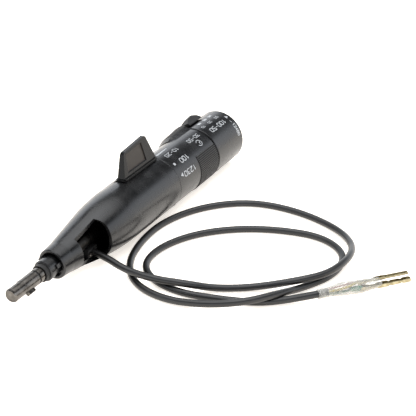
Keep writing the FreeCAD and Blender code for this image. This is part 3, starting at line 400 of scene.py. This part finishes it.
# ---------------------------------------------------------------- mesh helpers
def new_piece(name, verts, faces, material, body, smooth=True):
    """A mesh piece that rides on a body."""
    mesh = bpy.data.meshes.new(name)
    mesh.from_pydata([tuple(vert) for vert in verts], [], faces)
    mesh.validate()
    work = bmesh.new()
    work.from_mesh(mesh)
    bmesh.ops.remove_doubles(work, verts=work.verts, dist=1e-7)
    bmesh.ops.recalc_face_normals(work, faces=work.faces)
    work.to_mesh(mesh)
    work.free()
    if smooth:
        mesh.shade_smooth()
    obj = bpy.data.objects.new(name, mesh)
    obj.data.materials.append(material)
    bpy.context.scene.collection.objects.link(obj)
    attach(obj, body)
    return obj


def rings(sections, closed_ends=True):
    """Verts and faces of a skin through equal rings of points."""
    count = len(sections[0])
    verts = [point for section in sections for point in section]
    faces = []
    for row in range(len(sections) - 1):
        for step in range(count):
            after = (step + 1) % count
            faces.append((row * count + step, row * count + after,
                          (row + 1) * count + after, (row + 1) * count + step))
    if closed_ends:
        faces.append(tuple(reversed(range(count))))
        faces.append(tuple(range((len(sections) - 1) * count, len(sections) * count)))
    return verts, faces


# ---------------------------------------------------------------- cable lead
# The lead's route: X from the rod tip, Y from the lever's axis, Z above the surface, in metres.
LEAD_ROUTE = [
    (0.068, -0.0045, 0.00955), (0.0673, -0.014, 0.0088), (0.0645, -0.027, 0.0067),
    (0.064, -0.046, 0.0067), (0.069, -0.063, 0.0064), (0.0785, -0.075, 0.002),
    (0.0895, -0.0925, 0.002), (0.101, -0.114, 0.0069), (0.116, -0.125, 0.0069),
    (0.137, -0.1275, 0.0067), (0.156, -0.1205, 0.0036), (0.170, -0.104, 0.002),
    (0.177, -0.076, 0.002), (0.174, -0.047, 0.002), (0.155, -0.025, 0.002),
    (0.128, -0.0135, 0.002), (0.101, -0.014, 0.002), (0.077, -0.021, 0.002),
    (0.0605, -0.036, 0.002), (0.0555, -0.058, 0.002), (0.0595, -0.081, 0.0042),
    (0.068, -0.099, 0.0068), (0.084, -0.1105, 0.0068), (0.103, -0.116, 0.002),
    (0.124, -0.125, 0.002), (0.146, -0.121, 0.002), (0.157, -0.101, 0.002),
    (0.152, -0.076, 0.002), (0.141, -0.054, 0.002), (0.123, -0.036, 0.002),
    (0.101, -0.027, 0.002), (0.081, -0.0285, 0.002), (0.069, -0.042, 0.002),
    (0.0655, -0.062, 0.002), (0.071, -0.084, 0.002), (0.078, -0.103, 0.002),
    (0.088, -0.118, 0.0038), (0.1024, -0.1306, 0.0041),
]
LEAD_DIAMETER = 0.004

# What is on the lead's end, in mm: the sleeve runs back over the jacket by its overlap.
SLEEVE_OVERLAP = 6.0
SLEEVE_LENGTH = 36.0
SLEEVE_WIDENS = 9.0
SLEEVE_PINCH = 11.0
SLEEVE_WALL = 0.22
BOOT_START = 12.5
BOOT_LENGTH = 7.0
TERMINAL_END = 48.0

route = [Vector((TIP_X + x, AXIS_Y + y, z)) for x, y, z in LEAD_ROUTE]
HEADING = (route[-1] - route[-2]).normalized()
SIDE = UP.cross(HEADING).normalized()
RISE = HEADING.cross(SIDE)


def past_jacket(along, side, rise):
    """A point by the jacket's end, in mm along the lead and across it."""
    return route[-1] + (HEADING * along + SIDE * side + RISE * rise) * MM


def smooth_curve(name, points, radius, material, order=3):
    """A round NURBS tube through free space, riding on the lever."""
    curve = bpy.data.curves.new(name, "CURVE")
    curve.dimensions = "3D"
    spline = curve.splines.new("NURBS")
    spline.points.add(len(points) - 1)
    for knot, point in zip(spline.points, points):
        knot.co = (*point, 1.0)
    spline.order_u = order
    spline.use_endpoint_u = True
    spline.resolution_u = 14
    curve.bevel_depth = radius
    curve.bevel_resolution = 7
    curve.use_fill_caps = True
    curve.materials.append(material)
    obj = bpy.data.objects.new(name, curve)
    bpy.context.scene.collection.objects.link(obj)
    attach(obj, "lever")
    return obj


def make_lead(materials):
    jacket = smooth_curve("lead_jacket", route, LEAD_DIAMETER / 2, materials["cord_jacket"])
    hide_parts("cord")
    pieces = [make_sleeve(materials["clear_film"])]
    pieces += make_wires(materials)
    pieces += make_terminals(materials["brass"])


def sleeve_section(along, wall):
    """One ring of the clear tube: tight on the jacket, then wider, pinched and creased."""
    grow = min(max((along - SLEEVE_OVERLAP) / SLEEVE_WIDENS, 0.0), 1.0)
    grow = grow * grow * (3 - 2 * grow)
    close = min(max((along - SLEEVE_LENGTH + SLEEVE_PINCH) / SLEEVE_PINCH, 0.0), 1.0)
    half_side = 2.75 + grow * 1.35 - close * 1.1
    half_rise = 2.40 + grow * 0.75 - close * 0.9
    ring = []
    for step in range(40):
        turn = 2 * math.pi * step / 40
        crease = noise.noise(Vector((along * 0.16, math.cos(turn) * 1.3, math.sin(turn) * 1.3 + 4)))
        fold = noise.noise(Vector((along * 0.45, math.cos(turn) * 3.1 + 7, math.sin(turn) * 3.1)))
        swell = 1.0 + grow * (0.13 * crease + 0.05 * fold)
        side = (half_side * swell - wall) * math.copysign(abs(math.cos(turn)) ** 0.9, math.cos(turn))
        rise = (half_rise * swell - wall) * math.copysign(abs(math.sin(turn)) ** 0.9, math.sin(turn))
        lean = 0.35 * grow * math.sin(along * 0.16)
        ring.append(past_jacket(along - SLEEVE_OVERLAP, side + lean, rise + 0.5 * lean))
    return ring


def make_sleeve(material):
    steps = [SLEEVE_LENGTH * number / 60 for number in range(61)]
    outer = [sleeve_section(along, 0.0) for along in steps]
    inner = [sleeve_section(along, SLEEVE_WALL) for along in reversed(steps)]
    verts, faces = rings(outer + inner + outer[:1], closed_ends=False)
    sleeve = new_piece("clear_sleeve_film", verts, faces, material, "lever")
    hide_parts("clear_sleeve")
    return sleeve


def make_wires(materials):
    """Four insulated cores that leave the jacket and wind loosely to the two terminals."""
    paths = {
        "yellow": [(-2, -0.5, 0.75), (2, -0.6, 0.8), (5, -0.8, 0.5), (8, -0.4, 0.7), (11, -0.5, 1.1),
                   (14, -0.2, 1.9), (16.5, 0.4, 1.9), (18.5, 0.7, 1.4)],
        "green": [(-2, -0.75, -0.6), (2, -0.9, -0.7), (5, -1.1, -0.9), (8, -0.5, -1.2),
                  (11, -1.0, -0.9), (14, -1.1, -0.7), (16.5, -0.9, -1.0), (18.5, -0.7, -1.2)],
        "red": [(-2, 0.6, 0.7), (2, 0.9, 1.1), (5, 0.6, 1.6), (8, 0.9, 1.7), (11, 0.6, 2.0),
                (14, 1.0, 2.2), (16.5, 1.4, 1.7), (18.5, 1.3, 1.4)],
        "white": [(-2, 0.7, -0.7), (2, 1.1, -0.9), (5, 1.2, -0.5), (8, 1.0, -0.8), (11, 0.9, -0.2),
                  (14, 0.9, -0.6), (16.5, 0.2, -1.0), (18.5, 0.0, -1.2)],
    }
    made = []
    for colour, path in paths.items():
        radius = (0.72 if colour in ("yellow", "green") else 0.5) * MM
        wire = smooth_curve("core_" + colour, [past_jacket(*point) for point in path], radius,
                            materials["wire_" + colour], order=4)
        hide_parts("wire_" + colour)
        made.append(wire)
    made.append(make_boot(materials["boot"]))
    return made


def make_boot(material):
    """The soft green boot where the lower cores go into their terminal."""
    sections = []
    for number in range(15):
        part = number / 14
        swell = math.sin(math.pi * min(max(part, 0.06), 0.94)) ** 0.6
        half = 0.45 + 1.05 * swell
        ring = []
        for step in range(28):
            turn = 2 * math.pi * step / 28
            lump = 1 + 0.12 * noise.noise(Vector((part * 4, math.cos(turn) * 2, math.sin(turn) * 2)))
            ring.append(past_jacket(BOOT_START + BOOT_LENGTH * part,
                                    -0.9 + half * 1.15 * lump * math.cos(turn),
                                    -0.75 + half * lump * math.sin(turn)))
        sections.append(ring)
    verts, faces = rings(sections)
    return new_piece("green_boot", verts, faces, material, "lever")


def channel(stations):
    """A folded strip: each station is (along, side, rise, half width, half depth, wall)."""
    sections = []
    for along, side, rise, half, depth, wall in stations:
        profile = [(-half, depth), (-half, -depth), (half, -depth), (half, depth),
                   (half - wall, depth), (half - wall, -depth + wall),
                   (-half + wall, -depth + wall), (-half + wall, depth)]
        sections.append([past_jacket(along, side + across, rise + up) for across, up in profile])
    return rings(sections)


def make_terminals(material):
    """The two crimped brass terminals: a grip on the cores, a neck, and a rolled blade."""
    upper = [(17.5, 0.9, 1.35, 1.15, 0.85, 0.35), (21.5, 0.95, 1.4, 1.2, 0.9, 0.35),
             (23, 1.1, 1.45, 0.8, 0.5, 0.3), (26.5, 1.2, 1.45, 0.9, 0.55, 0.3),
             (28, 1.3, 1.5, 1.2, 0.75, 0.3), (32, 1.3, 1.5, 1.25, 0.75, 0.3),
             (34, 1.3, 1.5, 1.25, 0.5, 0.28), (46.4, 1.3, 1.5, 1.25, 0.5, 0.28),
             (47.4, 1.3, 1.5, 0.95, 0.4, 0.25)]
    lower = [(17.5, -0.6, -1.2, 1.4, 0.95, 0.35), (22, -0.8, -1.25, 1.5, 1.0, 0.35),
             (23.5, -0.9, -1.3, 1.0, 0.6, 0.3), (27, -1.1, -1.3, 1.1, 0.6, 0.3),
             (28.5, -1.2, -1.2, 1.6, 1.0, 0.4), (34, -1.2, -1.2, 1.6, 1.05, 0.4),
             (35.2, -1.2, -1.3, 1.15, 0.6, 0.3), (36.4, -1.2, -1.2, 1.45, 0.9, 0.35),
             (41, -1.2, -1.2, 1.4, 0.85, 0.35), (42, -1.2, -1.3, 1.1, 0.6, 0.3),
             (43.2, -1.2, -1.2, 1.5, 1.0, 0.35), (47, -1.2, -1.2, 1.5, 1.0, 0.35),
             (TERMINAL_END, -1.2, -1.2, 0.9, 0.6, 0.25)]
    made = []
    for name, stations in (("upper", upper), ("lower", lower)):
        verts, faces = channel(stations)
        terminal = new_piece("brass_" + name, verts, faces, material, "lever", False)
        bend = terminal.modifiers.new("edges", "BEVEL")
        bend.width = 0.0001
        bend.segments = 2
        bend.limit_method = "ANGLE"
        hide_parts("terminal_" + name)
        made.append(terminal)
    return made


# ---------------------------------------------------------------- paddle skirt
def make_skirt(material):
    """The flared root of the paddle's fin, which runs out over the barrel."""
    sections = []
    for level in range(8):
        up = level / 7
        height = FIN_FOOT + SKIRT_HEIGHT * up
        flare = SKIRT_FLARE * (1 - up) ** 2.2 - SKIRT_SUNK
        left = FIN_NEAR + FIN_NEAR_SLOPE * (height - FIN_FOOT) - flare
        right = FIN_FAR - FIN_FAR_SLOPE * (height - FIN_FOOT) + flare
        half = FIN_FOOT_HALF - FIN_TAPER * (height - FIN_FOOT) + flare
        ring = []
        for step in range(64):
            turn = 2 * math.pi * (step + 0.5) / 64
            reach = (abs(math.cos(turn)) ** 0.25, abs(math.sin(turn)) ** 0.5)
            s = (left + right) / 2 + math.copysign(reach[0], math.cos(turn)) * (right - left) / 2
            across = math.copysign(reach[1], math.sin(turn)) * half
            floor = math.sqrt((FIN_FOOT - 0.1) ** 2 - across ** 2)
            lift = floor * (1 - up) + height * up
            angle = FIN_ANGLE + math.degrees(math.atan2(across, lift))
            ring.append(on_lever(s, angle, math.hypot(across, lift)))
        sections.append(ring)
    verts, faces = rings(sections)
    new_piece("paddle_skirt", verts, faces, material, "paddle")


# ---------------------------------------------------------------- button spring
def make_button_spring(material):
    """The end button's coil spring: a copy of the CAD spring with the given finish, riding on the
    lever.
    """
    spring = bpy.data.objects.new("button_spring", nodes["set_button_spring"].data.copy())
    spring.data.materials.clear()
    spring.data.materials.append(material)
    bpy.context.scene.collection.objects.link(spring)
    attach(spring, "lever")
    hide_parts("set_button_spring")
    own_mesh(spring)


# ---------------------------------------------------------------- printed marks
# Strokes of plain figures on a cell 1 wide and 1.5 high.
FIGURES = {
    "0": [[(0.25, 0), (0.75, 0), (1, 0.25), (1, 1.25), (0.75, 1.5), (0.25, 1.5), (0, 1.25),
           (0, 0.25), (0.25, 0)]],
    "1": [[(0.2, 1.15), (0.6, 1.5), (0.6, 0)]],
    "2": [[(0, 1.25), (0.25, 1.5), (0.75, 1.5), (1, 1.25), (1, 0.95), (0, 0), (1, 0)]],
    "3": [[(0, 1.5), (1, 1.5), (0.5, 0.9), (0.8, 0.85), (1, 0.6), (1, 0.25), (0.75, 0), (0, 0)]],
    "4": [[(0.75, 0), (0.75, 1.5), (0, 0.4), (1, 0.4)]],
    "5": [[(1, 1.5), (0.05, 1.5), (0.05, 0.85), (0.75, 0.85), (1, 0.6), (1, 0.25), (0.75, 0),
           (0, 0)]],
    "8": [[(0.3, 0.8), (0, 1.05), (0, 1.3), (0.25, 1.5), (0.75, 1.5), (1, 1.3), (1, 1.05),
           (0.7, 0.8), (0.3, 0.8), (0, 0.55), (0, 0.2), (0.25, 0), (0.75, 0), (1, 0.2), (1, 0.55),
           (0.7, 0.8)]],
    "-": [[(0.15, 0.75), (0.85, 0.75)]],
}


class Print:
    """Ink on a turned surface: strokes and filled shapes laid out in mm and wrapped round it."""

    def __init__(self, name, radius, body, material):
        self.name = name
        self.radius = radius
        self.body = body
        self.material = material
        self.verts = []
        self.faces = []

    def arc(self, angle):
        """The arc length, in mm from the top, at an angle round the lever."""
        return math.radians(angle) * self.radius

    def wrap(self, s, arc, lift):
        """The row-frame point that a place on the laid-out surface wraps to."""
        angle = math.degrees(arc / self.radius)
        return on_lever(s, angle, self.radius + lift)

    def stroke(self, points, width):
        """A ribbon of ink along (s, arc length) points."""
        path = [Vector(points[0])]
        for start, end in zip(points, points[1:]):
            start = Vector(start)
            end = Vector(end)
            parts = max(1, math.ceil((end - start).length / 0.5))
            path += [start.lerp(end, number / parts) for number in range(1, parts + 1)]
        closed = (path[0] - path[-1]).length < 1e-6
        base = len(self.verts)
        for number, here in enumerate(path):
            before = path[number - 1] if number else (path[-2] if closed else here)
            after = path[number + 1] if number + 1 < len(path) else (path[1] if closed else here)
            arrive = (here - before).normalized() if (here - before).length else None
            leave = (after - here).normalized() if (after - here).length else None
            along = ((arrive or leave) + (leave or arrive)).normalized()
            across = Vector((-along.y, along.x))
            straight = leave or arrive
            lean = abs(across.dot(Vector((-straight.y, straight.x))))
            edge = across * width / 2 * (1.0 / max(0.55, lean))
            for place in (here + edge, here - edge):
                for lift in (INK_PROUD, -INK_SUNK):
                    self.verts.append(self.wrap(place.x, place.y, lift))
        for number in range(len(path) - 1):
            a = base + number * 4
            b = a + 4
            self.faces += [(a, b, b + 2, a + 2), (a + 1, a + 3, b + 3, b + 1),
                           (a, a + 1, b + 1, b), (a + 2, b + 2, b + 3, a + 3)]
        if not closed:
            last = base + (len(path) - 1) * 4
            self.faces += [(base, base + 2, base + 3, base + 1), (last, last + 1, last + 3, last + 2)]

    def shape(self, corners):
        """A filled outline of (s, arc length) corners, drawn as a fan about its middle."""
        outline = []
        for start, end in zip(corners, corners[1:] + corners[:1]):
            start = Vector(start)
            end = Vector(end)
            parts = max(1, math.ceil((end - start).length / 0.6))
            outline += [start.lerp(end, number / parts) for number in range(parts)]
        middle = sum(outline, Vector((0, 0))) / len(outline)
        base = len(self.verts)
        for place in outline + [middle]:
            for lift in (INK_PROUD, -INK_SUNK):
                self.verts.append(self.wrap(place.x, place.y, lift))
        centre = base + 2 * len(outline)
        for number in range(len(outline)):
            a = base + 2 * number
            b = base + 2 * ((number + 1) % len(outline))
            self.faces += [(a, b, centre), (a + 1, centre + 1, b + 1), (a, a + 1, b + 1, b)]

    def figures(self, text, start, angle, length, height, width, around=False):
        """Figures that read towards the rod tip, or round the lever."""
        cell = length / (len(text) + 0.35 * (len(text) - 1))
        arc = self.arc(angle)
        for number, letter in enumerate(text):
            for line in FIGURES[letter]:
                points = []
                for x, y in line:
                    across = (number * 1.35 + x) * cell
                    up = (y / 1.5 - 0.5) * height
                    points.append((start + up, arc + across) if around
                                  else (start - across, arc + up))
                self.stroke(points, width)

    def finish(self):
        return new_piece(self.name, self.verts, self.faces, self.material, self.body,
                         False)


def make_marks(material):
    band = Print("band_marks", BAND_RADIUS, "wiper_drive", material)
    band.figures("100", 161.0, 37.5, 8.4, 2.9, 0.5)
    square = band.arc(35.5)
    band.shape([(145.9, square - 0.8), (147.5, square - 0.8), (147.5, square + 0.8),
                (145.9, square + 0.8)])
    band.figures("1230", 161.8, 65.5, 12.4, 2.9, 0.5)
    triangle = band.arc(63)
    band.shape([(145.6, triangle), (148.0, triangle - 1.3), (148.0, triangle + 1.3)])
    band.figures("10-20", 161.0, 10.0, 13.0, 2.5, 0.38)
    long_bar = band.arc(-8.2)
    band.shape([(145.8, long_bar - 0.75), (156.7, long_bar - 0.30), (156.7, long_bar + 0.30),
                (145.8, long_bar + 0.75)])
    short_bar = band.arc(-25.5)
    band.shape([(150.0, short_bar - 0.55), (157.0, short_bar - 0.25), (157.0, short_bar + 0.25),
                (150.0, short_bar + 0.55)])
    band.figures("30-50", 183.4, 14.0, 12.2, 2.5, 0.38)
    hub = (177.0, band.arc(31))
    turns = [math.radians(turn) for turn in range(-150, 151, 15)]
    dial = [(hub[0] + 2.1 * math.cos(turn), hub[1] + 2.1 * math.sin(turn)) for turn in turns]
    band.stroke(dial, 0.45)
    band.stroke([hub, (hub[0] + 1.3, hub[1] - 0.5)], 0.45)
    band.stroke([hub, (hub[0] + 0.6, hub[1] + 1.0)], 0.45)
    band.finish()

    cap = Print("cap_marks", CAP_RADIUS, "lever", material)
    cap.figures("100-50", 210.3, 26.0, 16.8, 2.9, 0.5)
    pointer = cap.arc(21.5)
    cap.shape([(215.8, pointer + 0.2), (213.6, pointer - 1.2), (213.4, pointer + 1.3)])
    for start, text in ((210.4, "50"), (202.4, "20"), (194.9, "10")):
        cap.figures(text, start, 7.0, 3.2, 1.7, 0.3)
    tick = cap.arc(-8)
    for start in (206.6, 200.8, 194.0):
        end = start + 2.9
        cap.shape([(start, tick - 1.1), (end, tick - 0.7), (end, tick + 0.8), (start, tick + 0.9)])
    cap.stroke([(213.6, cap.arc(33)), (213.9, cap.arc(38.5))], 0.35)
    cap.figures("12480", 214.1, 42.0, 8.4, 2.1, 0.42, around=True)
    cap.finish()


# ---------------------------------------------------------------- floor and light
FLOOR_HALF = 4.0
LAMP_SIZE = 2.4
LAMP_ENERGY = 34.0
LAMP_PLACE = (0.1, 0.1, 1.5)
SKY_STRENGTH = 2.0
# How bright the sky is at heights from below (0) to overhead (1).
SKY_STOPS = [(0.43, 1.0), (0.55, 0.03), (0.75, 0.04), (0.88, 0.6)]


def make_studio():
    work = bmesh.new()
    bmesh.ops.create_grid(work, x_segments=8, y_segments=8, size=FLOOR_HALF)
    mesh = bpy.data.meshes.new("floor")
    work.to_mesh(mesh)
    work.free()
    floor = bpy.data.objects.new("floor", mesh)
    bpy.context.scene.collection.objects.link(floor)
    paper = Nodes("floor_paper")
    tone = paper.noise(3.0, 2.0)
    paper.feed("Base Color", paper.blend(tone, (0.92, 0.87, 0.80), (0.94, 0.89, 0.82)))
    paper.set(Roughness=0.9, Emission_Color=(1.0, 0.94, 0.87, 1.0), Emission_Strength=0.66)
    mesh.materials.append(paper.material)

    world = bpy.data.worlds.new("studio")
    world.use_nodes = True
    tree = world.node_tree
    back = tree.nodes["Background"]
    place = tree.nodes.new("ShaderNodeTexCoord")
    split = tree.nodes.new("ShaderNodeSeparateXYZ")
    ramp = tree.nodes.new("ShaderNodeValToRGB")
    tree.links.new(place.outputs["Generated"], split.inputs["Vector"])
    tree.links.new(split.outputs["Z"], ramp.inputs["Fac"])
    tree.links.new(ramp.outputs["Color"], back.inputs["Color"])
    stops = ramp.color_ramp.elements
    stops[0].position = 0.0
    stops[0].color = (1.0, 1.0, 1.0, 1.0)
    stops[1].position = 1.0
    stops[1].color = (0.9, 0.9, 0.92, 1.0)
    for position, level in SKY_STOPS:
        stop = stops.new(position)
        stop.color = (level * 0.95, level, level * 1.08, 1.0)
    back.inputs["Strength"].default_value = SKY_STRENGTH
    bpy.context.scene.world = world

    lamp = bpy.data.lights.new("top_light", "AREA")
    lamp.size = LAMP_SIZE
    lamp.energy = LAMP_ENERGY
    light = bpy.data.objects.new("top_light", lamp)
    light.location = LAMP_PLACE
    bpy.context.scene.collection.objects.link(light)
    bpy.context.scene.view_settings.view_transform = "Standard"


# ---------------------------------------------------------------- finishes of the CAD nodes
def dress_nodes(materials):
    """Give each CAD node the finish of its slot, or one of its own."""
    finish = {}
    for part in frame["record"]["subparts"]:
        finish[part["node"]] = part["material_slot"]
    finish.update(wiper_band="band", washer_paddle="fin", slide_knob="grip",
                  support_tube="dark_steel")
    for name, node in nodes.items():
        slot = finish[name]
        node.data.materials.clear()
        node.data.materials.append(materials[slot])


make_camera()
finishes = make_materials()
make_lead(finishes)
dress_nodes(finishes)
make_skirt(finishes["fin"])
make_button_spring(finishes["steel"])
make_marks(finishes["print"])
make_studio()
